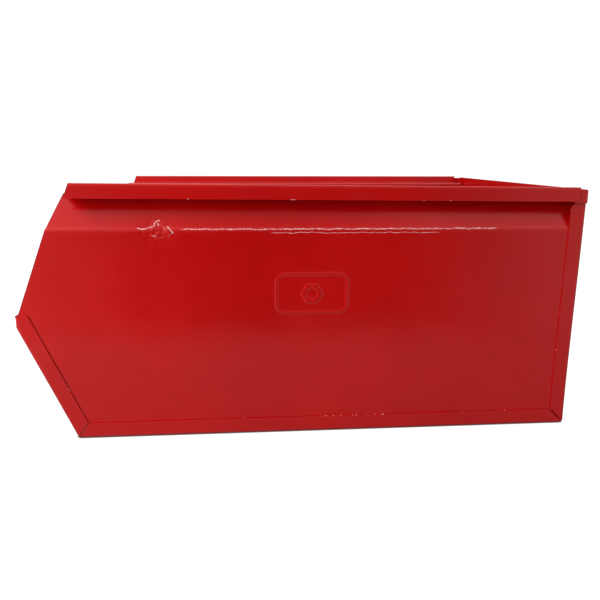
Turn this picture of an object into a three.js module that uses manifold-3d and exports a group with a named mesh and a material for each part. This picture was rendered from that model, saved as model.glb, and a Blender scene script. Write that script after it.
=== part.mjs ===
// An open-fronted sheet steel parts bin that hangs on two rails by its side rims, or stacks on
// another bin. Three folded sheets are spot welded together: one long sheet that is the lip, the
// sloping front, the floor and the back, and a pressed panel at each side.
// Units are millimetres. +X runs from the open front to the back, +Z up, and the origin is at the
// middle of the base.
import * as THREE from "three";
import { mergeVertices } from "three/addons/utils/BufferGeometryUtils.js";
import Module from "manifold-3d";

const wasm = await Module();
wasm.setup();

// ---- Driving dimensions -------------------------------------------------------------------------
const LENGTH = 450; // front of the lip to the outside of the back
const WIDTH = 300; // across the flanges, which is also the inside width of the rim
const HEIGHT = 200; // floor to the top of the side rims
const SHEET = 0.8; // steel thickness
const FIT_GAP = 0.2; // paint and air between sheets that lie on each other
const FLOOR_LENGTH = 409; // flat underside, front bend to back bend
const FLANGE = 12.4; // width of the flanges that hold the side panels
const FRONT_FLANGE_TOP = 100.2; // it ends beside the lip
const BACK_FLANGE_TOP = 187.2; // it ends just under the corner tab
const BEND = 1.0; // middle radius of an ordinary bend
const SOFT_BEND = 1.8; // middle radius at the side panels' crease and at the nose above it
const HEM_BEND = 0.45; // middle radius of a flat hem

const LIP_BOTTOM = 92.5; // the front slope turns upright here
const LIP_TOP = 102.5;
const LIP_HEM = 8; // hem folded down inside the lip

const CREASE = 168; // the side panels lean inwards above this height
const RECESS = 12; // how far they lean in, to clear the hanging rails
const LEDGE = 192; // stacking ledge on top of that lean
const RIM_BAND = 11.2; // outer band that turns down from the top of the rim
const RIM_PLAY = 0.3; // play of a stacked bin inside the rim, each side
const RIM_BEND = 0.6; // middle radius at the top of the rim
const RIM_SLIT = 1.0; // gap between the upstand and its band, which takes the back's corner tab
const RIM_FRONT_SETBACK = 4.6; // the rim starts this far behind the panel's front edge
const RIM_BACK_SETBACK = 6; // and ends this far ahead of the outside of the back
const FRONT_EDGE_RUN = 0.405; // how far the panel's front edge leans back for each mm up

const BACK_TOP = 198.7;
const TAB_FOOT = 187.8;
const TAB_LENGTH = 11; // the back's top corners turn this far round into the side rims
const MITRE_SLIT = 1.2; // opening of the flange mitres at their inner ends

const MARK_CENTRE = [5, 117]; // pressed mark on each side panel
const MARK_SIZE = [60, 34];
const MARK_CORNER = 9;
const MARK_LINE = 2.6; // width of its raised lines
const MARK_HEIGHT = 0.6;
const NUT_RADIUS = 9.5; // hexagon in the middle of the mark
const NUT_HOLE = 4.5;

const WELD_RADIUS = 2.3;
const FLOOR_WELDS = 6; // on each side
const BACK_WELDS = 3;
const FRONT_WELDS = 2;

// ---- Planes worked out from them ----------------------------------------------------------------
const FRONT_X = -LENGTH / 2;
const BACK_X = LENGTH / 2; // outer face of the back wall
const CORNER_X = BACK_X - FLOOR_LENGTH; // outer corner between floor and front slope
const FLANGE_Y = WIDTH / 2; // outer face of a flange
const PANEL_Y = FLANGE_Y - SHEET - FIT_GAP; // outer face of a side panel
const UPSTAND_Y = WIDTH / 2 + RIM_PLAY; // inner face of the rim's upstand
const BAND_Y = UPSTAND_Y + 2 * SHEET + RIM_SLIT; // outer face of the rim's band

// ---- Small geometry tools -----------------------------------------------------------------------
const vec = (x, y) => new THREE.Vector2(x, y);

// An open line moved sideways, to its left as it runs, with its corners kept square.
function offsetLine(points, distance) {
  const normals = points.slice(1).map((p, i) => {
    const along = p.clone().sub(points[i]).normalize();
    return vec(-along.y, along.x);
  });
  return points.map((p, i) => {
    const before = normals[Math.max(i - 1, 0)];
    const after = normals[Math.min(i, normals.length - 1)];
    const mitre = before.clone().add(after).normalize();
    return p.clone().addScaledVector(mitre, distance / mitre.dot(before));
  });
}

// The section of a sheet folded along a middle line, where bends[i] is the radius at corner i.
function foldedSection(middle, bends, thickness = SHEET) {
  const left = [];
  const right = [];
  const put = (point, normal) => {
    left.push(point.clone().addScaledVector(normal, thickness / 2));
    right.push(point.clone().addScaledVector(normal, -thickness / 2));
  };
  const directions = middle.slice(1).map((p, i) => p.clone().sub(middle[i]).normalize());
  const normalOf = (d) => vec(-d.y, d.x);
  put(middle[0], normalOf(directions[0]));
  for (let i = 1; i < middle.length - 1; i++) {
    const [arriving, leaving] = [directions[i - 1], directions[i]];
    const turn = Math.atan2(arriving.cross(leaving), arriving.dot(leaving));
    const radius = bends[i - 1];
    const start = middle[i].clone().addScaledVector(arriving, -radius * Math.tan(Math.abs(turn) / 2));
    const side = normalOf(arriving).multiplyScalar(Math.sign(turn));
    const centre = start.clone().addScaledVector(side, radius);
    const steps = Math.max(2, Math.round(Math.abs(turn) / (Math.PI / 8)));
    for (let k = 0; k <= steps; k++) {
      const angle = (turn * k) / steps;
      const spoke = side.clone().rotateAround(vec(0, 0), angle);
      put(centre.clone().addScaledVector(spoke, -radius), spoke.multiplyScalar(Math.sign(turn)));
    }
  }
  put(middle.at(-1), normalOf(directions.at(-1)));
  return new THREE.Shape([...left, ...right.reverse()]);
}

// Shapes drawn in side view, x and z, and pressed out across the bin from y = from to y = to.
function acrossBin(shape, from, to) {
  const geometry = new THREE.ExtrudeGeometry(shape, {
    depth: to - from,
    bevelEnabled: false,
    curveSegments: 6,
  });
  const side = new THREE.Matrix4().makeBasis(
    new THREE.Vector3(1, 0, 0),
    new THREE.Vector3(0, 0, 1),
    new THREE.Vector3(0, -1, 0),
  );
  return geometry.applyMatrix4(side).translate(0, to, 0);
}

// Shapes drawn in end view, y and z, and pressed out along the bin.
function alongBin(shape, from, to) {
  const geometry = new THREE.ExtrudeGeometry(shape, { depth: to - from, bevelEnabled: false });
  const end = new THREE.Matrix4().makeBasis(
    new THREE.Vector3(0, 1, 0),
    new THREE.Vector3(0, 0, 1),
    new THREE.Vector3(1, 0, 0),
  );
  return geometry.applyMatrix4(end).translate(from, 0, 0);
}

function block(x, y, z) {
  return new THREE.BoxGeometry(x[1] - x[0], y[1] - y[0], z[1] - z[0]).translate(
    (x[0] + x[1]) / 2,
    (y[0] + y[1]) / 2,
    (z[0] + z[1]) / 2,
  );
}

function solid(geometry) {
  const bare = geometry.clone();
  bare.deleteAttribute("normal");
  bare.deleteAttribute("uv");
  const merged = mergeVertices(bare);
  return new wasm.Manifold(
    new wasm.Mesh({
      numProp: 3,
      vertProperties: new Float32Array(merged.attributes.position.array),
      triVerts: new Uint32Array(merged.index.array),
    }),
  );
}

function geometryOf(manifold) {
  const mesh = manifold.getMesh();
  const geometry = new THREE.BufferGeometry();
  geometry.setAttribute("position", new THREE.BufferAttribute(mesh.vertProperties, 3));
  geometry.setIndex(new THREE.BufferAttribute(mesh.triVerts, 1));
  geometry.computeVertexNormals();
  return geometry;
}

const redEnamel = new THREE.MeshStandardMaterial({ color: 0xa81414, roughness: 0.3, metalness: 0 });
const weldSteel = new THREE.MeshStandardMaterial({ color: 0x6e6f72, roughness: 0.5, metalness: 1 });

const bin = new THREE.Group();

function addPiece(name, geometry, material) {
  const mesh = new THREE.Mesh(geometry, material);
  mesh.name = name;
  bin.add(mesh);
}

// ---- Folded body: lip, front slope, floor and back in one sheet ----------------------------------
// Its outer line in side view, from the top of the lip to the top of the back.
const outerLine = [
  vec(FRONT_X, LIP_TOP),
  vec(FRONT_X, LIP_BOTTOM),
  vec(CORNER_X, 0),
  vec(BACK_X, 0),
  vec(BACK_X, BACK_TOP),
];

function bodySection() {
  const middle = offsetLine(outerLine, SHEET / 2);
  middle[0].y -= SHEET / 2;
  const lipHemX = middle[0].x + SHEET + FIT_GAP;
  middle.unshift(vec(lipHemX, LIP_TOP - LIP_HEM), vec(lipHemX, middle[0].y));
  return foldedSection(middle, [HEM_BEND, HEM_BEND, BEND, BEND, BEND]);
}

// The three flanges of one side, drawn in side view, each ending in a mitre at its corners.
function flangeShapes() {
  const shifted = (point, along, distance) => point.clone().addScaledVector(along, distance);
  const [, lipFoot, frontCorner, backCorner] = offsetLine(outerLine, (3 * SHEET) / 4);
  const [, frontMitre, backMitre] = offsetLine(outerLine.slice(1), FLANGE);
  const slope = frontCorner.clone().sub(lipFoot).normalize();
  const half = MITRE_SLIT / 2;
  const squareEnd = shifted(outerLine[1], vec(-slope.y, slope.x), FLANGE);
  const front = [
    lipFoot,
    frontCorner,
    shifted(frontMitre, slope, -half),
    shifted(squareEnd, slope, slope.y * (FRONT_FLANGE_TOP - LIP_BOTTOM)),
    vec(lipFoot.x, FRONT_FLANGE_TOP),
  ];
  const floor = [
    frontCorner,
    backCorner,
    shifted(backMitre, vec(1, 0), -half),
    shifted(frontMitre, vec(1, 0), half),
  ];
  const back = [
    backCorner,
    vec(backCorner.x, BACK_FLANGE_TOP),
    vec(BACK_X - FLANGE, BACK_FLANGE_TOP),
    shifted(backMitre, vec(0, 1), half),
  ];
  return [front, floor, back].map((points) => new THREE.Shape(points));
}

// A top corner of the back turned forwards, between the side rim's upstand and its band.
function cornerTab(side) {
  const tabOuter = UPSTAND_Y + SHEET + (RIM_SLIT + SHEET) / 2;
  const height = [TAB_FOOT, BACK_TOP - SHEET];
  const tab = block([BACK_X - TAB_LENGTH, BACK_X], [tabOuter - SHEET, tabOuter], height);
  const bridge = block([BACK_X - SHEET, BACK_X], [FLANGE_Y - SHEET, tabOuter], height);
  return solid(tab)
    .add(solid(bridge))
    .transform([1, 0, 0, 0, 0, side, 0, 0, 0, 0, 1, 0, 0, 0, 0, 1]);
}

function foldedBody() {
  let body = solid(acrossBin(bodySection(), -FLANGE_Y, FLANGE_Y));
  for (const side of [-1, 1]) {
    const [from, to] = side < 0 ? [-FLANGE_Y, SHEET - FLANGE_Y] : [FLANGE_Y - SHEET, FLANGE_Y];
    for (const shape of flangeShapes()) {
      body = body.add(solid(acrossBin(shape, from, to)));
    }
    body = body.add(cornerTab(side));
  }
  return geometryOf(body);
}

addPiece("folded_body", foldedBody(), redEnamel);

// ---- Side panels ----------------------------------------------------------------------------------
// Where the panel's front edge is at a height.
const frontEdgeAt = (z) => FRONT_X + 2 * (SHEET + FIT_GAP) + FRONT_EDGE_RUN * (z - LIP_TOP);

// The folds of a panel in end view, from the floor up to the foot of the rim's band.
function panelSection(side) {
  const wallY = PANEL_Y - SHEET / 2;
  const ledgeZ = LEDGE - SHEET / 2;
  const upstandY = UPSTAND_Y + SHEET / 2;
  const bandY = BAND_Y - SHEET / 2;
  const middle = [
    [wallY, SHEET + FIT_GAP],
    [wallY, CREASE],
    [wallY - RECESS, ledgeZ],
    [upstandY, ledgeZ],
    [upstandY, HEIGHT - SHEET / 2],
    [bandY, HEIGHT - SHEET / 2],
    [bandY, HEIGHT - RIM_BAND],
  ].map(([y, z]) => vec(side * y, z));
  return foldedSection(middle, [SOFT_BEND, SOFT_BEND, BEND, RIM_BEND, RIM_BEND]);
}

// The panel's outline in side view, which fits inside the folded body.
function panelOutline() {
  const lining = offsetLine(outerLine, SHEET + FIT_GAP);
  const [, lipFoot, frontCorner, backCorner] = lining;
  const hemClear = 2 * (SHEET + FIT_GAP);
  const hemFoot = LIP_TOP - LIP_HEM - FIT_GAP;
  return new THREE.Shape([
    vec(FRONT_X + hemClear, LIP_TOP),
    vec(FRONT_X + hemClear, hemFoot),
    vec(lipFoot.x + (SHEET + FIT_GAP) / 2, hemFoot),
    lipFoot.clone().add(vec((SHEET + FIT_GAP) / 2, 0)),
    frontCorner,
    backCorner,
    vec(backCorner.x, HEIGHT + 1),
    vec(frontEdgeAt(HEIGHT + 1), HEIGHT + 1),
  ]);
}

// The upstand and band stop short of the panel's ends, and the tab's end of the slit stays open.
function rimEndCutters(side) {
  const low = HEIGHT - RIM_BAND - 1;
  const high = HEIGHT + 1;
  const front = new THREE.Shape([
    vec(FRONT_X, low),
    vec(frontEdgeAt(low) + RIM_FRONT_SETBACK, low),
    vec(frontEdgeAt(high) + RIM_FRONT_SETBACK, high),
    vec(FRONT_X, high),
  ]);
  const rimEnd = BACK_X - RIM_BACK_SETBACK;
  const back = new THREE.Shape([
    vec(rimEnd, low),
    vec(BACK_X, low),
    vec(BACK_X, high),
    vec(rimEnd, high),
  ]);
  const inner = FLANGE_Y - RIM_PLAY;
  const outer = BAND_Y + 1;
  const [from, to] = side < 0 ? [-outer, -inner] : [inner, outer];
  return [front, back].map((shape) => solid(acrossBin(shape, from, to)));
}

function roundedPanel(width, height, radius) {
  const shape = new THREE.Shape();
  const [x, z] = [width / 2, height / 2];
  shape.moveTo(-x + radius, -z);
  shape.lineTo(x - radius, -z);
  shape.absarc(x - radius, -z + radius, radius, -Math.PI / 2, 0);
  shape.absarc(x - radius, z - radius, radius, 0, Math.PI / 2);
  shape.absarc(-x + radius, z - radius, radius, Math.PI / 2, Math.PI);
  shape.absarc(-x + radius, -z + radius, radius, Math.PI, 1.5 * Math.PI);
  return shape;
}

function hexagon(radius) {
  const corners = [...Array(6).keys()].map((k) => {
    const angle = (k * Math.PI) / 3;
    return vec(radius * Math.cos(angle), radius * Math.sin(angle));
  });
  return new THREE.Shape(corners);
}

// The pressed mark's lines: a rounded frame with a plain hexagon in it, drawn narrower or wider.
function markShapes(narrowed) {
  const frame = roundedPanel(
    MARK_SIZE[0] - 2 * narrowed,
    MARK_SIZE[1] - 2 * narrowed,
    MARK_CORNER - narrowed,
  );
  const inside = 2 * (MARK_LINE - narrowed);
  frame.holes.push(
    roundedPanel(MARK_SIZE[0] - inside, MARK_SIZE[1] - inside, MARK_CORNER - MARK_LINE + narrowed),
  );
  const nut = hexagon(NUT_RADIUS - narrowed);
  nut.holes.push(new THREE.Path().absarc(0, 0, NUT_HOLE + narrowed, 0, 2 * Math.PI));
  return [frame, nut];
}

function markSolids(side, narrowed, from, to) {
  const [low, high] = side < 0 ? [-to, -from] : [from, to];
  return markShapes(narrowed).map((shape) =>
    solid(acrossBin(shape, low, high).translate(MARK_CENTRE[0], 0, MARK_CENTRE[1])),
  );
}

function sidePanel(side) {
  let panel = solid(alongBin(panelSection(side), FRONT_X, BACK_X));
  panel = panel.intersect(solid(acrossBin(panelOutline(), -BAND_Y - 1, BAND_Y + 1)));
  for (const cutter of rimEndCutters(side)) {
    panel = panel.subtract(cutter);
  }
  const innerFace = PANEL_Y - SHEET;
  for (const line of markSolids(side, 0, innerFace + SHEET / 2, PANEL_Y + MARK_HEIGHT)) {
    panel = panel.add(line);
  }
  for (const groove of markSolids(side, SHEET, innerFace - 1, innerFace + MARK_HEIGHT)) {
    panel = panel.subtract(groove);
  }
  return geometryOf(panel);
}

addPiece("right_side_panel", sidePanel(-1), redEnamel);
addPiece("left_side_panel", sidePanel(1), redEnamel);

// ---- Spot welds -----------------------------------------------------------------------------------
// Each is the fused button between two sheets: it fills the gap between their faces.
function weldButton(x, y, z, thickness) {
  return new THREE.CylinderGeometry(WELD_RADIUS, WELD_RADIUS, thickness, 16).translate(x, y, z);
}

const spread = (from, to, count, k) => from + ((to - from) * (k + 0.5)) / count;

function flangeWeldPlaces() {
  const places = [];
  const middle = offsetLine(outerLine, FLANGE / 2);
  const [, lipFoot, frontCorner, backCorner] = middle;
  for (let k = 0; k < FLOOR_WELDS; k++) {
    places.push([`floor_${k + 1}`, spread(frontCorner.x, backCorner.x, FLOOR_WELDS, k), FLANGE / 2]);
  }
  for (let k = 0; k < BACK_WELDS; k++) {
    places.push([`back_${k + 1}`, backCorner.x, spread(FLANGE, CREASE, BACK_WELDS, k)]);
  }
  for (let k = 0; k < FRONT_WELDS; k++) {
    const place = lipFoot.clone().lerp(frontCorner, (k + 0.5) / FRONT_WELDS);
    places.push([`front_${k + 1}`, place.x, place.y]);
  }
  return places;
}

for (const [sideName, side] of [["right", -1], ["left", 1]]) {
  for (const [name, x, z] of flangeWeldPlaces()) {
    const button = weldButton(x, side * (PANEL_Y + FIT_GAP / 2), z, FIT_GAP);
    addPiece(`weld_${sideName}_${name}`, button, weldSteel);
  }
  const tabGap = (RIM_SLIT - SHEET) / 2;
  const tabWeldX = BACK_X - (TAB_LENGTH + RIM_BACK_SETBACK) / 2;
  const tabWeldY = UPSTAND_Y + SHEET + tabGap / 2;
  const tabWeldZ = LEDGE + 3;
  const button = weldButton(tabWeldX, side * tabWeldY, tabWeldZ, tabGap);
  addPiece(`weld_${sideName}_rim`, button, weldSteel);
}

export default bin;
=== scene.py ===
import math

import bmesh
import bpy
from mathutils import Matrix, Vector, kdtree, noise


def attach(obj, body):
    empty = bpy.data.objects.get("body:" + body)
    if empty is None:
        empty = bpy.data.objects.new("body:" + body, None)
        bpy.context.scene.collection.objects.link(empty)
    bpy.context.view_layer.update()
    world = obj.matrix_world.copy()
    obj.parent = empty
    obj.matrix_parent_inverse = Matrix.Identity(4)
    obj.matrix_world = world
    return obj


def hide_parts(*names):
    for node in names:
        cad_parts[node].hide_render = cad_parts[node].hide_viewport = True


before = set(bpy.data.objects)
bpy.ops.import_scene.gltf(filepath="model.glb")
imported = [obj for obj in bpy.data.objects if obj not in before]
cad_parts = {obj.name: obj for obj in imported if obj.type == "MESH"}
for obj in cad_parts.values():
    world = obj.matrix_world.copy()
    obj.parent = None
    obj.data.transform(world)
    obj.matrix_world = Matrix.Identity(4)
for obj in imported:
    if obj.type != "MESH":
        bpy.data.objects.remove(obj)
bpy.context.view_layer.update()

# ---- Folded body ----------------------------------------------------------------------------------
# One long sheet of 0.8 mm steel is the lip, the sloping front, the floor and the back. Flanges are
# folded in along its sides and mitred at the corners, the lip is hemmed inwards, and the back's top
# corners turn forwards as two tabs that hold the side rims. Red enamel is sprayed over pink primer.

# Sizes in millimetres, on the outside of the sheet.
X, Y, Z = Vector((1, 0, 0)), Vector((0, 1, 0)), Vector((0, 0, 1))
SHEET = 0.8
BEND = 1.0
HEM = 0.45
LIP = Vector((-225.0, 0.0, 102.5))
LIP_FOOT = Vector((-225.0, 0.0, 92.5))
FRONT_CORNER = Vector((-184.0, 0.0, 0.0))
BACK_CORNER = Vector((225.0, 0.0, 0.0))
BACK_TOP = Vector((225.0, 0.0, 198.7))
HALF_WIDTH = 150.0
FLANGE = 12.4
FRONT_FLANGE_TOP = 100.2
BACK_FLANGE_TOP = 187.2
RELIEF = 0.6
TAB_TOP = 197.9
TAB_LENGTH = 11.0
TAB_Y = 151.6
BACK_LEAN = 1.3
UP_SLOPE = (LIP_FOOT - FRONT_CORNER).normalized()
IN_FROM_SLOPE = Vector((UP_SLOPE.z, 0, -UP_SLOPE.x))
HEM_DEPTH = 8
HEM_GAP = 0.2
BEND_ROOM = 1.5
FRONT_MITRE_GAP, BACK_MITRE_GAP = 0.5, 0.7
LIP_EAR = Vector((-216.6, 0.0, 103.9))
LIP_EAR_RADIUS, FLANGE_TOP_RADIUS = 3.0, 4.0
CUT_EDGE_BEVEL = 0.22
PATCH = 8
FOLD_STRIP = 2
FLOOR_HOLLOW = 0.5
BACK_TOP_RISE_RIGHT, BACK_TOP_RISE_LEFT = 0.4, 2.8

# The enamel's colours, from thin to thick coats, a dark red that paints shade on edges, and what shows
# where it is worn.
THIN_RED, THICK_RED = (0.49, 0.0018, 0.0018, 1), (0.56, 0.0030, 0.0026, 1)
MOTTLED_RED = (0.44, 0.0020, 0.0026, 1)
RED_OVER_BENDS = (0.72, 0.055, 0.05, 1)
SHADED_EDGE_RED = (0.09, 0.010, 0.012, 1)
# The primer colours also paint the pale highlights along the crease and on the knock's crinkles.
PRIMER_AND_GLINT, PALE_PRIMER_AND_GLINT = (0.80, 0.36, 0.36, 1), (0.92, 0.62, 0.60, 1)
ENAMEL_IOR = 1.40

# Painted highlight lines along the crease, drawn as crazed enamel: height and half width in metres,
# and the crazing each one needs.
CRAZE_AND_GLINT_LINES = ((0.1683, 0.0006, 0.1), (0.1653, 0.0003, 0.6))


def add_node(tree, kind, *links, **settings):
    """A node with its settings and inputs. An input is a number, a colour or a node's output."""
    node = tree.nodes.new(kind)
    for name, value in settings.items():
        setattr(node, name, value)
    for name, value in links:
        if isinstance(value, bpy.types.NodeSocket):
            tree.links.new(value, node.inputs[name])
        else:
            node.inputs[name].default_value = value
    return node


def add_math(tree, operation, *values, clamp=False):
    links = [(i, value) for i, value in enumerate(values)]
    return add_node(tree, "ShaderNodeMath", *links, operation=operation, use_clamp=clamp).outputs[0]


def add_ramp(tree, value, start, stop, low=0.0, high=1.0):
    """Maps a value from one range to another with soft ends."""
    return add_node(
        tree,
        "ShaderNodeMapRange",
        ("Value", value),
        ("From Min", start),
        ("From Max", stop),
        ("To Min", low),
        ("To Max", high),
        interpolation_type="SMOOTHSTEP",
    ).outputs["Result"]


def add_noise(tree, place, scale, detail=2.0, roughness=0.5):
    return add_node(
        tree,
        "ShaderNodeTexNoise",
        ("Vector", place),
        ("Scale", scale),
        ("Detail", detail),
        ("Roughness", roughness),
    ).outputs["Fac"]


def mix_colour(tree, mask, first, second):
    node = add_node(tree, "ShaderNodeMix", data_type="RGBA")
    for socket, value in ((node.inputs[0], mask), (node.inputs[6], first), (node.inputs[7], second)):
        if isinstance(value, bpy.types.NodeSocket):
            tree.links.new(value, socket)
        else:
            socket.default_value = value
    return node.outputs[2]


def wavy_glint_line_group():
    """A thin broken line that wanders along X at one height: a painted highlight where a lamp glints
    on a crease, drawn like crazed enamel.
    """
    group = bpy.data.node_groups.new("wavy glint line", "ShaderNodeTree")
    for name, kind in (("Height", "NodeSocketFloat"), ("Half Width", "NodeSocketFloat")):
        group.interface.new_socket(name, in_out="INPUT", socket_type=kind)
    group.interface.new_socket("Mask", in_out="OUTPUT", socket_type="NodeSocketFloat")
    start = group.nodes.new("NodeGroupInput")
    place = add_node(group, "ShaderNodeTexCoord").outputs["Object"]
    axes = add_node(group, "ShaderNodeSeparateXYZ", ("Vector", place)).outputs
    run = add_node(
        group, "ShaderNodeCombineXYZ", ("X", axes["X"]), ("Y", start.outputs["Height"])
    ).outputs[0]
    wander = add_math(group, "MULTIPLY_ADD", add_noise(group, run, 95.0, 1.5), 0.0022, -0.0011)
    jitter = add_math(group, "MULTIPLY_ADD", add_noise(group, run, 420.0, 1.0), 0.0012, -0.0006)
    offset = add_math(group, "SUBTRACT", axes["Z"], start.outputs["Height"])
    offset = add_math(group, "SUBTRACT", offset, add_math(group, "ADD", wander, jitter))
    beads = add_ramp(group, add_noise(group, run, 950.0, 1.0), 0.35, 0.65, 0.35, 1.2)
    half_width = add_math(group, "MULTIPLY", start.outputs["Half Width"], beads)
    reach = add_math(group, "DIVIDE", add_math(group, "ABSOLUTE", offset), half_width)
    line = add_ramp(group, reach, 0.4, 1.0, 1.0, 0.0)
    broken = add_ramp(group, add_noise(group, run, 260.0, 3.0, 0.7), 0.26, 0.5)
    end = group.nodes.new("NodeGroupOutput")
    group.links.new(add_math(group, "MULTIPLY", line, broken), end.inputs["Mask"])
    return group


def red_enamel():
    """Glossy, thin on cut edges and bends where it chips, with pale painted highlights on the crease
    and crinkles, and painted shade on edges.
    """
    material = bpy.data.materials.new("glossy red enamel")
    material.use_nodes = True
    tree = material.node_tree
    paint = tree.nodes["Principled BSDF"]
    place = add_node(tree, "ShaderNodeTexCoord").outputs["Object"]

    def painted(name):
        return add_node(tree, "ShaderNodeAttribute", attribute_name=name).outputs["Fac"]

    cut_edge, bend = painted("cut_edge_mm"), painted("bend_mm")
    crinkle_and_glint, craze_and_glint, edge_shade = painted("crinkle_and_glint"), painted("craze_and_glint"), painted("edge_shade")

    # Thick and thin coats: clouds a hand wide, and a mottle a finger wide.
    clouds = add_ramp(tree, add_noise(tree, place, 7.0, 2.0), 0.3, 0.7)
    red = mix_colour(tree, clouds, THIN_RED, THICK_RED)
    mottle = add_ramp(tree, add_noise(tree, place, 60.0, 3.0), 0.45, 0.8, 0.0, 0.25)
    red = mix_colour(tree, mottle, red, MOTTLED_RED)
    # The coat pulls thin over bends and shows a little of the primer.
    thin = add_ramp(tree, bend, 0.0, 2.2, 0.16, 0.0)
    red = mix_colour(tree, thin, red, RED_OVER_BENDS)
    # Painted shade: a dark red on the body's outer folds and foot, where they turn into shadow and
    # meet the floor, and on the panels' front cut edges.
    red = mix_colour(tree, edge_shade, red, SHADED_EDGE_RED)

    # Chips: small bites along the cut edges, rarer on bends, and a few specks anywhere.
    bites = add_noise(tree, place, 330.0, 3.0, 0.6)
    rare = add_noise(tree, place, 38.0, 1.0)
    edge_near = add_ramp(tree, cut_edge, 0.1, 1.1, 0.20, 0.0)
    bend_near = add_ramp(tree, bend, 0.0, 0.8, 0.08, 0.0)
    likely = add_math(tree, "ADD", add_math(tree, "MAXIMUM", edge_near, bend_near), bites)
    likely = add_math(tree, "ADD", likely, add_math(tree, "MULTIPLY_ADD", rare, 0.55, -0.275))
    chips = add_ramp(tree, likely, 0.885, 0.92)
    # The crazed lines along the crease and the scuffs on the knock's crinkles are painted highlights:
    # pale lines where a lamp glints, drawn as enamel worn through to the primer.
    glint_group = wavy_glint_line_group()
    chips_and_glints = chips
    for height, half_width, least in CRAZE_AND_GLINT_LINES:
        line = add_node(tree, "ShaderNodeGroup", node_tree=glint_group)
        line.inputs["Height"].default_value = height
        line.inputs["Half Width"].default_value = half_width
        crazed_glint = add_math(tree, "MULTIPLY", line.outputs[0], add_ramp(tree, craze_and_glint, least, least + 0.3))
        chips_and_glints = add_math(tree, "MAXIMUM", chips_and_glints, crazed_glint)
    ragged = add_math(tree, "ADD", crinkle_and_glint, add_math(tree, "MULTIPLY_ADD", bites, 0.8, -0.4))
    chips_and_glints = add_math(tree, "MAXIMUM", chips_and_glints, add_ramp(tree, ragged, 0.4, 0.75))
    primer_and_glint = mix_colour(tree, add_ramp(tree, bites, 0.4, 0.6), PRIMER_AND_GLINT, PALE_PRIMER_AND_GLINT)
    colour = mix_colour(tree, add_math(tree, "MULTIPLY", chips_and_glints, 0.9), red, primer_and_glint)
    tree.links.new(colour, paint.inputs["Base Color"])

    # Gloss: slightly duller in patches, on the chips and on the painted highlight lines.
    gloss = add_ramp(tree, add_noise(tree, place, 24.0, 4.0, 0.6), 0.3, 0.75, 0.17, 0.25)
    rough = add_math(tree, "MAXIMUM", gloss, add_math(tree, "MULTIPLY", chips_and_glints, 0.45))
    tree.links.new(rough, paint.inputs["Roughness"])

    # Orange peel a millimetre or two across, slow waves from spraying, and the depth of the chips and
    # painted highlight lines.
    peel = add_noise(tree, place, 520.0, 2.0)
    waves = add_noise(tree, place, 45.0, 2.0)
    height = add_math(tree, "MULTIPLY_ADD", waves, 3.0, add_math(tree, "MULTIPLY", peel, 0.35))
    height = add_math(tree, "ADD", height, add_math(tree, "MULTIPLY", chips_and_glints, -2.5))
    bump = add_node(
        tree, "ShaderNodeBump", ("Strength", 0.35), ("Distance", 0.00003), ("Height", height)
    )
    tree.links.new(bump.outputs["Normal"], paint.inputs["Normal"])
    paint.inputs["IOR"].default_value = ENAMEL_IOR
    paint.inputs["Metallic"].default_value = 0.0
    return material


enamel = red_enamel()


def inset_line(points, distance):
    """A line in side view moved to its left as it runs, its corners kept square."""
    runs = [(b - a).normalized() for a, b in zip(points, points[1:])]
    sides = [Vector((-run.z, 0, run.x)) for run in runs]
    moved = []
    for i, point in enumerate(points):
        before, after = sides[max(i - 1, 0)], sides[min(i, len(sides) - 1)]
        mitre = (before + after).normalized()
        moved.append(point + mitre * (distance / mitre.dot(before)))
    return moved


def extend(bm, edges, step):
    """More sheet, grown from some of its edges. Gives back the new free edges."""
    grown = bmesh.ops.extrude_edge_only(bm, edges=edges)["geom"]
    moved = {item for item in grown if isinstance(item, bmesh.types.BMVert)}
    bmesh.ops.translate(bm, verts=list(moved), vec=step)
    edges = [item for item in grown if isinstance(item, bmesh.types.BMEdge)]
    return [edge for edge in edges if all(vert in moved for vert in edge.verts)]


def sheet_along(line, sweep):
    """A flat sheet folded sharply along a line of corners, before its bends are rounded."""
    bm = bmesh.new()
    corners = [bm.verts.new(point) for point in line]
    edges = [bm.edges.new(pair) for pair in zip(corners, corners[1:])]
    extend(bm, edges, sweep)
    bmesh.ops.recalc_face_normals(bm, faces=bm.faces)
    return bm


def middle(edge):
    return (edge.verts[0].co + edge.verts[1].co) / 2


def round_bend(bm, edges, radius, segments=5):
    """Rounds sharp folds to a bend's middle radius."""
    turn = edges[0].calc_face_angle()
    bmesh.ops.bevel(
        bm,
        geom=edges,
        offset=radius * math.tan(turn / 2),
        offset_type="OFFSET",
        segments=segments,
        profile=0.5,
        affect="EDGES",
        material=-1,
    )


def round_corner(bm, place, radius):
    """Rounds the corner of a flange that lies nearest to a place."""
    corner = min(bm.verts, key=lambda vert: (vert.co - place).length)
    bmesh.ops.bevel(
        bm,
        geom=[corner],
        offset=radius,
        offset_type="OFFSET",
        segments=5,
        profile=0.5,
        affect="VERTICES",
        material=-1,
    )


def fold_at(bm, corner, along):
    """The fold that runs through a corner along a direction."""
    return [
        edge
        for edge in bm.edges
        if all((vert.co - corner).cross(along).length < 1e-3 for vert in edge.verts)
    ]


def parts_of(faces):
    edges = {edge for face in faces for edge in face.edges}
    verts = {vert for face in faces for vert in face.verts}
    return [*faces, *edges, *verts]


def shear_off(bm, faces, point, outward):
    """Cuts faces along a plane, drops what lies beyond it and gives back the rest."""
    cut = bmesh.ops.bisect_plane(
        bm, geom=parts_of(faces), dist=1e-4, plane_co=point, plane_no=outward
    )
    faces = [item for item in cut["geom"] if isinstance(item, bmesh.types.BMFace)]
    waste = [face for face in faces if (face.calc_center_median() - point).dot(outward) > 0]
    bmesh.ops.delete(bm, geom=waste, context="FACES")
    return [face for face in faces if face.is_valid]


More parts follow.
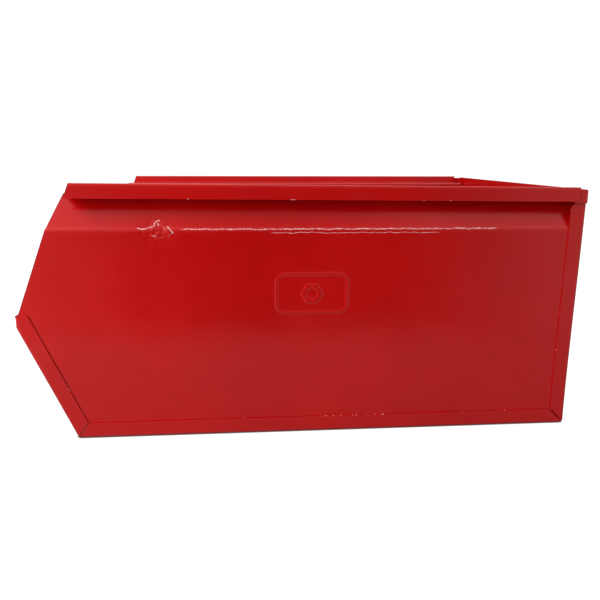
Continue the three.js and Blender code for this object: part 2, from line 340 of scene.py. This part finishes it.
def score(bm, axis, places):
    """Scores the sheet at places along an axis, so that it can be worked there."""
    for place in places:
        bmesh.ops.bisect_plane(
            bm,
            geom=[*bm.faces, *bm.edges, *bm.verts],
            dist=1e-4,
            plane_co=axis * place,
            plane_no=axis,
        )


def spaced(start, stop, pitch):
    count = max(1, round((stop - start) / pitch))
    return [start + (stop - start) * k / count for k in range(count + 1)]


def distance_to(edges):
    """A function that gives how far a place is from the nearest of some edges."""
    points = []
    for edge in edges:
        a, b = (vert.co for vert in edge.verts)
        count = max(1, math.ceil((b - a).length))
        points += [a.lerp(b, k / count) for k in range(count + 1)]
    tree = kdtree.KDTree(len(points))
    for i, point in enumerate(points):
        tree.insert(point, i)
    tree.balance()
    return lambda place: tree.find(place)[2]


def measure_wear(bm):
    """Each point's millimetres from cut edges and from bends, and blank layers for crinkles, painted
    highlights and painted edge shade.
    """
    cut_edges = [edge for edge in bm.edges if edge.is_boundary]
    inner_edges = [edge for edge in bm.edges if len(edge.link_faces) == 2]
    bends = [edge for edge in inner_edges if edge.calc_face_angle() > 0.06]
    for name, lines in (("cut_edge_mm", cut_edges), ("bend_mm", bends)):
        layer = bm.verts.layers.float.new(name)
        distance = distance_to(lines)
        for vert in bm.verts:
            vert[layer] = distance(vert.co)
    for name in ("crinkle_and_glint", "craze_and_glint", "edge_shade"):
        bm.verts.layers.float.new(name)


def freeze(piece):
    """Turns a piece's modifiers into plain mesh."""
    view = bpy.context.evaluated_depsgraph_get()
    view.update()
    done = bpy.data.meshes.new_from_object(
        piece.evaluated_get(view), preserve_all_data_layers=True, depsgraph=view
    )
    piece.modifiers.clear()
    piece.data = done


def sheet_piece(name, bm):
    """Gives a folded sheet its thickness, eased edges and enamel, in metres, as a finished object."""
    bmesh.ops.scale(bm, vec=(0.001, 0.001, 0.001), verts=bm.verts)
    mesh = bpy.data.meshes.new(name)
    bm.to_mesh(mesh)
    bm.free()
    piece = bpy.data.objects.new(name, mesh)
    bpy.context.collection.objects.link(piece)
    wall = piece.modifiers.new("sheet thickness", "SOLIDIFY")
    wall.thickness = SHEET / 1000
    wall.offset = 0
    wall.use_even_offset = True
    freeze(piece)
    bm = bmesh.new()
    bm.from_mesh(piece.data)
    bmesh.ops.recalc_face_normals(bm, faces=bm.faces)
    corners = [edge for edge in bm.edges if edge.is_manifold and edge.calc_face_angle() > 1.1]
    bmesh.ops.bevel(
        bm,
        geom=corners,
        offset=CUT_EDGE_BEVEL / 1000,
        offset_type="OFFSET",
        segments=2,
        profile=0.5,
        affect="EDGES",
        material=-1,
        clamp_overlap=True,
    )
    for face in bm.faces:
        face.smooth = True
    bm.to_mesh(piece.data)
    bm.free()
    piece.modifiers.new("flat faces stay flat", "WEIGHTED_NORMAL")
    freeze(piece)
    piece.data.materials.append(enamel)
    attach(piece, "root")
    return piece


def body_folds():
    """The middle line of the body's sheet in side view: its corners and the radius of each bend."""
    outer = [LIP, LIP_FOOT, FRONT_CORNER, BACK_CORNER, BACK_TOP]
    lip, lip_foot, front_corner, back_corner, back_top = inset_line(outer, SHEET / 2)
    lip.z -= SHEET / 2
    hem_top = lip + X * (SHEET + HEM_GAP)
    hem_foot = Vector((hem_top.x, 0, LIP.z - HEM_DEPTH))
    bends = [(hem_top, HEM), (lip, HEM), (lip_foot, BEND), (front_corner, BEND), (back_corner, BEND)]
    return hem_foot, bends, back_top


def side_run(place):
    """What is folded from each stretch of the body's long side edge."""
    if place.x > BACK_CORNER.x - BEND:
        if 2 < place.z < BACK_FLANGE_TOP:
            return "back"
        if BACK_FLANGE_TOP + RELIEF < place.z:
            return "tab" if place.z < TAB_TOP else "plain"
        return "relief"
    in_lip_hem = place.x > LIP.x + SHEET / 2 + HEM_GAP and place.z > LIP.z - HEM_DEPTH - BEND
    if in_lip_hem or place.z > FRONT_FLANGE_TOP + RELIEF:
        return "plain"
    if 2 < place.z < FRONT_FLANGE_TOP:
        return "front"
    return "floor" if abs(place.x) < 100 else "relief"


def mitre_cut(corner, in_before, in_after, gap):
    """The two cuts that open a mitre at a corner, for the flange before it and the one after it."""
    split = (in_before + in_after).normalized()
    towards_after = Vector((split.z, 0, -split.x))
    before = (corner - towards_after * gap, towards_after)
    after = (corner + towards_after * gap, -towards_after)
    return before, after


def body_half():
    """The half of the body at +Y, from the middle plane outwards."""
    hem_foot, folds, back_top = body_folds()
    web = HALF_WIDTH - BEND_ROOM
    bm = sheet_along([hem_foot, *(corner for corner, _ in folds), back_top], Y * web)
    for corner, radius in folds:
        round_bend(bm, fold_at(bm, corner, Y), radius)
    flange_tops = (FRONT_FLANGE_TOP, BACK_FLANGE_TOP)
    score(bm, Z, [top + extra for top in flange_tops for extra in (0, RELIEF)])
    score(bm, Z, (TAB_TOP,))

    runs = {name: [] for name in ("front", "floor", "back", "plain", "tab", "relief")}
    for edge in bm.edges:
        if edge.is_boundary and middle(edge).y > web - 1e-3:
            runs[side_run(middle(edge))].append(edge)

    extend(bm, runs["plain"], Y * (HALF_WIDTH - web))
    tab_fold = extend(bm, runs["tab"], Y * (TAB_Y - web))
    extend(bm, tab_fold, X * (SHEET / 2 - TAB_LENGTH))

    front_before, floor_start = mitre_cut(FRONT_CORNER, IN_FROM_SLOPE, Z, FRONT_MITRE_GAP)
    floor_end, back_start = mitre_cut(BACK_CORNER, Z, -X, BACK_MITRE_GAP)
    inner_edge = (LIP_FOOT + IN_FROM_SLOPE * FLANGE, IN_FROM_SLOPE)
    flanges = (
        ("front", IN_FROM_SLOPE, (inner_edge, front_before)),
        ("floor", Z, (floor_start, floor_end)),
        ("back", -X, (back_start,)),
    )
    flange_y = HALF_WIDTH - SHEET / 2
    for run, inwards, cuts in flanges:
        fold = extend(bm, runs[run], Y * (flange_y - web))
        known = set(bm.faces)
        extend(bm, fold, inwards * (FLANGE - SHEET / 2))
        faces = [face for face in bm.faces if face not in known]
        for point, outward in cuts:
            faces = shear_off(bm, faces, point, outward)
    square_folds = [
        edge
        for edge in bm.edges
        if len(edge.link_faces) == 2
        and edge.calc_face_angle() > 1.2
        and all(vert.co.y > web + 1 for vert in edge.verts)
    ]
    round_bend(bm, square_folds, BEND)
    flange_top = Vector((BACK_CORNER.x - FLANGE, 0, BACK_FLANGE_TOP))
    round_corner(bm, LIP_EAR + Y * flange_y, LIP_EAR_RADIUS)
    round_corner(bm, flange_top + Y * flange_y, FLANGE_TOP_RADIUS)
    return bm


def slack(place, waviness):
    """How far a wide flat stretch of sheet stands off true, in millimetres."""
    slow = noise.noise(place * 0.011)
    quick = noise.noise(place * 0.031 + Vector((7.0, 3.0, 1.0)))
    return waviness * (slow + 0.35 * quick)


def ease(value, start, stop):
    """A soft step from 0 at start to 1 at stop."""
    t = min(1.0, max(0.0, (value - start) / (stop - start)))
    return t * t * (3 - 2 * t)


bm = body_half()
score(bm, X, spaced(-216, 208, PATCH))
score(bm, Y, spaced(8, 144, PATCH))
score(bm, Z, spaced(6, 184, PATCH))
score(bm, Z, (FOLD_STRIP, 190.5, 193.0, 195.5))
score(bm, X, (BACK_CORNER.x - FOLD_STRIP,))
score(bm, IN_FROM_SLOPE, (LIP_FOOT.dot(IN_FROM_SLOPE) + FOLD_STRIP,))
bmesh.ops.mirror(bm, geom=[*bm.verts, *bm.edges, *bm.faces], axis="Y", merge_dist=1e-3)
bmesh.ops.recalc_face_normals(bm, faces=bm.faces)
measure_wear(bm)
edge_shade = bm.verts.layers.float["edge_shade"]
for vert in bm.verts:
    x, y, z = vert.co
    inside = ease(HALF_WIDTH - abs(y), 4, 40)
    # Painted shade: the flanges' outer folds and the foot are darkened where they turn into shadow and
    # meet the floor.
    if abs(y) > HALF_WIDTH - 2 * SHEET:
        to_fold = min(z, BACK_CORNER.x - x, (vert.co - LIP_FOOT).dot(IN_FROM_SLOPE))
        vert[edge_shade] = 0.35 * (1 - ease(to_fold, 0.5, 1.5)) + 0.4 * (1 - ease(z, 0.4, 1.3))
    if x > 195:
        vert.co.x += BACK_LEAN * ease(x, 195, 212) * ease(z, 20, 190)
        to_left = (y + HALF_WIDTH) / (2 * HALF_WIDTH)
        rise = BACK_TOP_RISE_RIGHT + (BACK_TOP_RISE_LEFT - BACK_TOP_RISE_RIGHT) * to_left
        vert.co.z += rise * ease(z, 150, BACK_FLANGE_TOP)
    if z < 1 and abs(x) < 180:
        vert.co.z += FLOOR_HOLLOW * inside * (0.5 + slack(vert.co, 0.5))
    elif x > 224 and 3 < z < 180:
        vert.co.x -= inside * abs(slack(vert.co, 0.5))
folded_body = sheet_piece("red_folded_body", bm)
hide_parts("folded_body")

# ---- Side panels ----------------------------------------------------------------------------------
# Each side is one pressed sheet inside the body's flanges. It leans in above a crease, turns out in
# a flat ledge, stands up and folds over into an outer band. A plain mark is pressed into the wall.
# The panel at -Y has taken a knock on its crease, where the enamel is crinkled; pale painted
# highlights on the crinkles and along the crease are drawn as scuffs and crazing.
PAINT_GAP = 0.2
WALL_Y = 148.6
CREASE_Z = 168.0
NOSE_Y = 136.6
LEDGE_Z = 191.6
UPSTAND_Y = 150.7
RIM_TOP = 199.6
BAND_Y = 152.5
RIM_FOOT = 188.8
PANEL_BACK = 224.0
RIM_BACK = 219.0
RIM_START = 149.7
FRONT_RUN = 0.405
PANEL_BENDS = (2.6, 1.8, 1.0, 0.6, 0.6)
RIM_SETBACK = 5.8
LEDGE_WIDTH = 10.2
FRONT_CLIP, BACK_CLIP = 13.0, 15.5
CREASE_SWELL, LEDGE_DRAW = 1.5, 1.7
EDGE_STRIP = 1.1
WALL_SLACK = 0.45
PANEL_PATCH, MARK_PATCH, CRINKLE_PATCH = 5, 0.8, 0.36
RIGHT_RIM_LIFT, LEFT_RIM_LIFT = (3.2, 0.9), (1.6, 2.7)
RIGHT_RIM_TILT, LEFT_RIM_TILT = 0.0, 0.05

# The mark: a frame, with a nut's hexagon and hole in it, pressed outwards.
MARK = Vector((5.0, 0.0, 117.0))
MARK_HALF_LENGTH, MARK_HALF_HEIGHT = 30.0, 17.0
MARK_CORNER = 9.0
MARK_RELIEF = 0.38
NUT_HALF = 8.2

# The knock: a shallow hollow, and crinkles as lines of points along X and Z with their strengths,
# which also paint pale highlights on them.
KNOCK_X, KNOCK_Z = -114, 167
KNOCK_LENGTH, KNOCK_HEIGHT, KNOCK_DEPTH = 11, 6, 0.7
CRINKLE_WIDTH, CRINKLE_RELIEF = 0.38, 0.25
CRINKLES = (
    (0.9, ((-129.2, 169.1), (-126.0, 168.4), (-123.1, 168.6), (-121.2, 169.4), (-117.9, 170.0))),
    (1.0, ((-116.6, 170.4), (-116.6, 172.3), (-115.1, 173.7), (-112.8, 174.2))),
    (0.8, ((-114.2, 172.3), (-113.3, 171.4), (-114.2, 170.7))),
    (0.7, ((-110.0, 170.4), (-109.1, 168.6))),
    (1.0, ((-106.5, 170.0), (-102.7, 165.7))),
    (0.6, ((-103.0, 165.4), (-106.3, 163.4))),
    (0.8, ((-119.0, 163.7), (-116.1, 163.0))),
    (0.6, ((-113.6, 161.6), (-110.5, 161.7))),
    (0.6, ((-85.9, 153.3), (-83.2, 154.2))),
    (0.6, ((-88.1, 149.7), (-87.1, 147.5))),
)


def distance_to_line(place, line):
    best = 1e9
    for (ax, az), (bx, bz) in zip(line, line[1:]):
        run = Vector((bx - ax, bz - az))
        along = (place - Vector((ax, az))).dot(run) / run.length_squared
        nearest = Vector((ax, az)) + run * min(1.0, max(0.0, along))
        best = min(best, (place - nearest).length)
    return best


def mark_height(x, z):
    """How far the pressed mark stands out: a rounded frame with a plain hexagon nut in it."""
    across = abs(x) - MARK_HALF_LENGTH + MARK_CORNER
    up = abs(z) - MARK_HALF_HEIGHT + MARK_CORNER
    outside = math.hypot(max(across, 0), max(up, 0)) + min(max(across, up), 0) - MARK_CORNER
    frame_line = 1 - ease(abs(outside + 1.5), 0.2, 1.7)
    turns = (math.radians(angle) for angle in (30, 90, 150))
    nut = max(abs(x * math.cos(turn) + z * math.sin(turn)) for turn in turns) - NUT_HALF
    ring = min(1 - ease(nut, -1.5, 0.2), ease(math.hypot(x, z), 3.8, 5.4))
    return MARK_RELIEF * max(frame_line, ring)


def side_panel(side, knocked, rim_lift, rim_tilt):
    """The panel at +Y or -Y, still without thickness. The rim's lift is at its front and back."""
    corners = [
        Vector((LIP.x, WALL_Y, SHEET + PAINT_GAP)),
        Vector((LIP.x, WALL_Y, CREASE_Z)),
        Vector((LIP.x, NOSE_Y, LEDGE_Z)),
        Vector((LIP.x, UPSTAND_Y, LEDGE_Z)),
        Vector((LIP.x, UPSTAND_Y, RIM_TOP)),
        Vector((LIP.x, BAND_Y, RIM_TOP)),
        Vector((LIP.x, BAND_Y, RIM_FOOT)),
    ]
    bm = sheet_along(corners, X * (PANEL_BACK - LIP.x))
    for corner, radius in zip(corners[1:-1], PANEL_BENDS):
        round_bend(bm, fold_at(bm, corner, X), radius)

    front = Vector((LIP.x + 2, 0, LIP.z))
    front_outward = Vector((-1, 0, FRONT_RUN)).normalized()
    shear_off(bm, bm.faces, FRONT_CORNER + IN_FROM_SLOPE * (SHEET + PAINT_GAP), -IN_FROM_SLOPE)
    shear_off(bm, bm.faces, front, -X)
    for corner, split, reach in (
        (FRONT_CORNER, (IN_FROM_SLOPE + Z).normalized(), FRONT_CLIP),
        (BACK_CORNER, (Z - X).normalized(), BACK_CLIP),
    ):
        shear_off(bm, bm.faces, corner + split * reach, -split)
    shear_off(bm, bm.faces, front, front_outward)
    score(bm, Y, (RIM_START,))
    rim = [face for face in bm.faces if face.calc_center_median().y > RIM_START]
    rim = shear_off(bm, rim, front + X * RIM_SETBACK, front_outward)
    shear_off(bm, rim, X * RIM_BACK, X)
    ledge = [face for face in bm.faces if abs(face.calc_center_median().z - LEDGE_Z) < 1e-3]
    ledge_front = front + X * RIM_SETBACK + Y * RIM_START
    ledge_slant = front_outward + Y * (RIM_SETBACK / LEDGE_WIDTH * -front_outward.x)
    shear_off(bm, ledge, ledge_front, ledge_slant)

    score(bm, X, spaced(-220, 215, PANEL_PATCH))
    score(bm, Z, spaced(5, 185, PANEL_PATCH))
    score(bm, Z, spaced(190, 198, 2))
    score(bm, Y, (139.5, 144.0))
    score(bm, X, spaced(MARK.x - 32, MARK.x + 32, MARK_PATCH))
    score(bm, Z, spaced(MARK.z - 19, MARK.z + 19, MARK_PATCH))
    score(bm, Z, (166.0, 167.0, 169.0, 170.0))
    if knocked:
        score(bm, X, spaced(-131, -101, CRINKLE_PATCH))
        score(bm, Z, spaced(160.6, 175, CRINKLE_PATCH))
    for setback in (0.0, RIM_SETBACK):
        edge = (front + X * setback).dot(front_outward)
        score(bm, front_outward, (edge - EDGE_STRIP,))
    measure_wear(bm)
    layers = bm.verts.layers.float
    crinkle_and_glint, craze_and_glint, edge_shade = layers["crinkle_and_glint"], layers["craze_and_glint"], layers["edge_shade"]
    for vert in bm.verts:
        x, y, z = vert.co
        to_front = (RIM_BACK - x) / 400
        lift = rim_lift[0] * to_front + rim_lift[1] * (1 - to_front)
        vert.co.z += lift * ease(z, CREASE_Z, LEDGE_Z)
        vert.co.y += rim_tilt * max(0.0, z - LEDGE_Z)
        front_margin = 1 - ease(x - front.x - FRONT_RUN * (z - front.z), 0, 8)
        below = min(1.0, max(0.0, (z - LIP.z) / (CREASE_Z - LIP.z)))
        above = min(1.0, max(0.0, (z - CREASE_Z) / (LEDGE_Z - CREASE_Z)))
        swell = CREASE_SWELL * below - (CREASE_SWELL + LEDGE_DRAW) * above
        vert.co.x -= front_margin * swell
        setback = RIM_SETBACK if y > RIM_START else 0.0
        to_front_edge = (front + X * setback - Vector((x, 0, z))).dot(front_outward)
        # Painted shade: a dark strip along the front cut edges, where the sheet's edge is in shadow.
        if z > LIP.z:
            vert[edge_shade] = 0.5 * (1 - ease(to_front_edge, 0.1, EDGE_STRIP))
        if z > 184:
            continue
        slope_x = FRONT_CORNER.x + (LIP_FOOT.x - FRONT_CORNER.x) * z / LIP_FOOT.z
        inside = ease(z, 14, 60) * ease(CREASE_Z - z, 2, 40)
        inside *= ease(BACK_CORNER.x - FLANGE - x, 2, 60) * ease(x - slope_x - 14, 2, 60)
        out = inside * slack(Vector((x, 0, z)), WALL_SLACK)
        if y > WALL_Y - 0.5 and z < 150:
            out += mark_height(x - MARK.x, z - MARK.z)
        if knocked:
            flat = Vector((x, z))
            if -135 < x < -78 and z > 142:
                # Each crinkle's strength paints a pale highlight on it, and further down also raises
                # it.
                for strength, line in CRINKLES:
                    near = strength * math.exp(-((distance_to_line(flat, line) / CRINKLE_WIDTH) ** 2))
                    vert[crinkle_and_glint] = max(vert[crinkle_and_glint], near)
                off_x, off_z = (x - KNOCK_X) / KNOCK_LENGTH, (z - KNOCK_Z) / KNOCK_HEIGHT
                hollow = KNOCK_DEPTH * math.exp(-(off_x**2) - off_z**2)
                out += CRINKLE_RELIEF * vert[crinkle_and_glint]
                out -= hollow * (0.7 + noise.noise(vert.co * 0.25))
            # How strongly the painted highlight along the crease, drawn as crazing, shows.
            along = ease(x, -97, -93) * ease(158 - x, 0, 12)
            along *= 0.5 + 0.5 * ease(x, -34, -20) * ease(112 - x, 0, 14)
            vert[craze_and_glint] = along if 163 < z < 171 else 0.0
        vert.co.y += out
    if side < 0:
        bmesh.ops.scale(bm, vec=(1, -1, 1), verts=bm.verts)
    bmesh.ops.recalc_face_normals(bm, faces=bm.faces)
    return bm


bm = side_panel(-1, True, RIGHT_RIM_LIFT, RIGHT_RIM_TILT)
right_panel = sheet_piece("red_right_side_panel", bm)
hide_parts("right_side_panel")
bm = side_panel(1, False, LEFT_RIM_LIFT, LEFT_RIM_TILT)
left_panel = sheet_piece("red_left_side_panel", bm)
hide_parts("left_side_panel")

# ---- Spot welds -----------------------------------------------------------------------------------
# Small nuggets of fused steel between the sheets: along the floor flanges, up the back and front
# flanges and at the corner tabs. They are bare steel with a patchy heat tint.


def weld_steel():
    material = bpy.data.materials.new("fused steel")
    material.use_nodes = True
    tree = material.node_tree
    steel = tree.nodes["Principled BSDF"]
    place = add_node(tree, "ShaderNodeTexCoord").outputs["Object"]
    grain = add_noise(tree, place, 1500.0, 4.0, 0.6)
    tint = add_noise(tree, place, 260.0, 2.0)
    colour = mix_colour(
        tree, add_ramp(tree, tint, 0.4, 0.65), (0.42, 0.41, 0.41, 1), (0.24, 0.19, 0.20, 1)
    )
    tree.links.new(colour, steel.inputs["Base Color"])
    tree.links.new(add_ramp(tree, grain, 0.3, 0.7, 0.35, 0.6), steel.inputs["Roughness"])
    bump = add_node(
        tree, "ShaderNodeBump", ("Strength", 0.4), ("Distance", 0.00005), ("Height", grain)
    )
    tree.links.new(bump.outputs["Normal"], steel.inputs["Normal"])
    steel.inputs["Metallic"].default_value = 1.0
    return material


fused_steel = weld_steel()
for name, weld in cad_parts.items():
    if name.startswith("weld_"):
        weld.data.materials.clear()
        weld.data.materials.append(fused_steel)

# ---- Floor, light and camera ----------------------------------------------------------------------
# A pale table that ends a forearm's length out from the bin's side, in a white room. The part of
# the room that faces that side is dim, with a window on either hand of it, and two soft lamps hang
# off the open end.

# Bearings are in degrees from straight out of that side, growing to the back. A half width says
# where the brightness starts to change and where it stops.
TABLE_HALF_WIDTH, TABLE_MIDDLE = 3.0, (0, 2.55, -0.0002)
DIM_BEARING, DIM_HALF_WIDTH = 4, (8, 28)
WINDOWS = ((42, 0.9), (-30, 0.8))
WINDOW_HALF_WIDTH = (14, 28)
ROOM_BRIGHTNESS, BACKDROP_BRIGHTNESS = 0.36, 1.05
FILL_LOSS = 0.55
CAMERA_PLACE = (-0.0490, -0.6302, 0.2193)
CAMERA_YAW, CAMERA_PITCH, CAMERA_ROLL = 5.27, 12.56, 0.35
LENS = 37.17


def pale_table():
    bm = bmesh.new()
    bmesh.ops.create_grid(bm, x_segments=24, y_segments=24, size=TABLE_HALF_WIDTH)
    bmesh.ops.translate(bm, verts=bm.verts, vec=TABLE_MIDDLE)
    mesh = bpy.data.meshes.new("table")
    bm.to_mesh(mesh)
    bm.free()
    table = bpy.data.objects.new("table", mesh)
    bpy.context.collection.objects.link(table)
    material = bpy.data.materials.new("pale laminate")
    material.use_nodes = True
    tree = material.node_tree
    laminate = tree.nodes["Principled BSDF"]
    place = add_node(tree, "ShaderNodeTexCoord").outputs["Object"]
    speckle = add_ramp(tree, add_noise(tree, place, 30.0, 4.0), 0.3, 0.7)
    grey = mix_colour(tree, speckle, (0.60, 0.60, 0.60, 1), (0.64, 0.64, 0.64, 1))
    ray = add_node(tree, "ShaderNodeLightPath").outputs
    seen = ray["Is Camera Ray"]
    shade = mix_colour(tree, ray["Is Diffuse Ray"], grey, (0.3, 0.3, 0.3, 1))
    colour = mix_colour(tree, seen, shade, (0.1, 0.1, 0.1, 1))
    tree.links.new(colour, laminate.inputs["Base Color"])
    # To the camera the table glows white, and an ambient occlusion ramp darkens it into a painted
    # contact shadow within a few millimetres of the bin's foot.
    under = add_node(tree, "ShaderNodeAmbientOcclusion", ("Distance", 0.0025)).outputs["AO"]
    glow = add_math(tree, "MULTIPLY", seen, add_ramp(tree, under, 0.5, 0.95, 0.05, 1.0))
    glow = mix_colour(tree, glow, (0, 0, 0, 1), (1, 1, 1, 1))
    tree.links.new(glow, laminate.inputs["Emission Color"])
    laminate.inputs["Emission Strength"].default_value = 1.0
    laminate.inputs["Roughness"].default_value = 0.6
    mesh.materials.append(material)
    return table


def off_middle(tree, bearing, middle):
    """The angle between a bearing and a middle one, in radians."""
    return add_math(tree, "ABSOLUTE", add_math(tree, "SUBTRACT", bearing, math.radians(middle)))


def white_room():
    """White to the camera. Shiny sheet mirrors its brightness, and diffuse light takes less of it."""
    world = bpy.data.worlds.new("white room")
    world.use_nodes = True
    tree = world.node_tree
    tree.nodes.clear()
    facing = add_node(tree, "ShaderNodeTexCoord").outputs["Generated"]
    axes = add_node(tree, "ShaderNodeSeparateXYZ", ("Vector", facing)).outputs
    bearing = add_math(tree, "ARCTAN2", axes["X"], add_math(tree, "MULTIPLY", axes["Y"], -1.0))
    off_bearing = off_middle(tree, bearing, DIM_BEARING)
    beside = add_ramp(tree, off_bearing, *map(math.radians, DIM_HALF_WIDTH))
    rise = axes["Z"]
    low = add_ramp(tree, rise, -0.01, 0.07, 0.09, 0.5)
    dim = add_math(tree, "ADD", low, add_ramp(tree, rise, 0.75, 0.95, 0.0, 0.8))
    windows = []
    for window_bearing, strength in WINDOWS:
        off_window = off_middle(tree, bearing, window_bearing)
        limits = map(math.radians, WINDOW_HALF_WIDTH)
        windows.append(add_ramp(tree, off_window, *limits, strength, 0.0))
    window = add_math(tree, "MAXIMUM", *windows)
    to_open_end = add_ramp(tree, axes["X"], -0.7, 0.7, 1.15, 0.75)
    ceiling = add_math(tree, "MULTIPLY", add_ramp(tree, rise, 0.08, 0.4), to_open_end)
    walls = add_math(tree, "ADD", ceiling, ROOM_BRIGHTNESS)
    bright = add_math(tree, "MAXIMUM", walls, window)
    brightness = add_node(
        tree, "ShaderNodeMix", ("Factor", beside), (2, dim), (3, bright), data_type="FLOAT"
    ).outputs[0]
    ray = add_node(tree, "ShaderNodeLightPath").outputs
    loss = add_math(tree, "MULTIPLY", ray["Is Diffuse Ray"], FILL_LOSS)
    fill = add_math(tree, "MULTIPLY", brightness, add_math(tree, "SUBTRACT", 1.0, loss))
    strength = add_node(
        tree,
        "ShaderNodeMix",
        ("Factor", ray["Is Camera Ray"]),
        (2, fill),
        (3, BACKDROP_BRIGHTNESS),
        data_type="FLOAT",
    ).outputs[0]
    background = add_node(
        tree, "ShaderNodeBackground", ("Color", (1, 1, 1, 1)), ("Strength", strength)
    )
    output = add_node(tree, "ShaderNodeOutputWorld")
    tree.links.new(background.outputs[0], output.inputs["Surface"])
    world.cycles.sampling_method = "NONE"
    bpy.context.scene.world = world


def soft_lamp(name, place, size, power, mirrored=True):
    light = bpy.data.lights.new(name, "AREA")
    light.shape = "DISK"
    light.size = size
    light.energy = power
    lamp = bpy.data.objects.new(name, light)
    lamp.location = place
    lamp.visible_glossy = mirrored
    lamp.rotation_euler = (Vector((0, 0, 0.1)) - Vector(place)).to_track_quat("-Z", "Y").to_euler()
    bpy.context.collection.objects.link(lamp)


def add_camera():
    """A camera at the bin's side, a little above its rim and turned slightly to the back."""
    yaw, pitch, roll = map(math.radians, (CAMERA_YAW, CAMERA_PITCH, CAMERA_ROLL))
    forward = Vector(
        (math.sin(yaw) * math.cos(pitch), math.cos(yaw) * math.cos(pitch), -math.sin(pitch))
    )
    level = Vector((math.cos(yaw), -math.sin(yaw), 0))
    upright = level.cross(forward)
    right = level * math.cos(roll) + upright * math.sin(roll)
    up = upright * math.cos(roll) - level * math.sin(roll)
    lens = bpy.data.cameras.new("camera")
    lens.lens = LENS
    lens.sensor_width = 36
    lens.clip_start = 0.01
    camera = bpy.data.objects.new("camera", lens)
    turn = Matrix((right, up, -forward)).transposed()
    camera.matrix_world = Matrix.Translation(CAMERA_PLACE) @ turn.to_4x4()
    bpy.context.collection.objects.link(camera)
    bpy.context.scene.camera = camera


pale_table()
white_room()
soft_lamp("lamp over the open end", (-0.75, -0.5, 0.85), 0.5, 6.4)
soft_lamp("wide lamp below it", (-0.8, -0.8, 0.38), 0.7, 5.1, mirrored=False)
add_camera()
bpy.context.scene.view_settings.view_transform = "Standard"
bpy.context.scene.view_settings.look = "None"
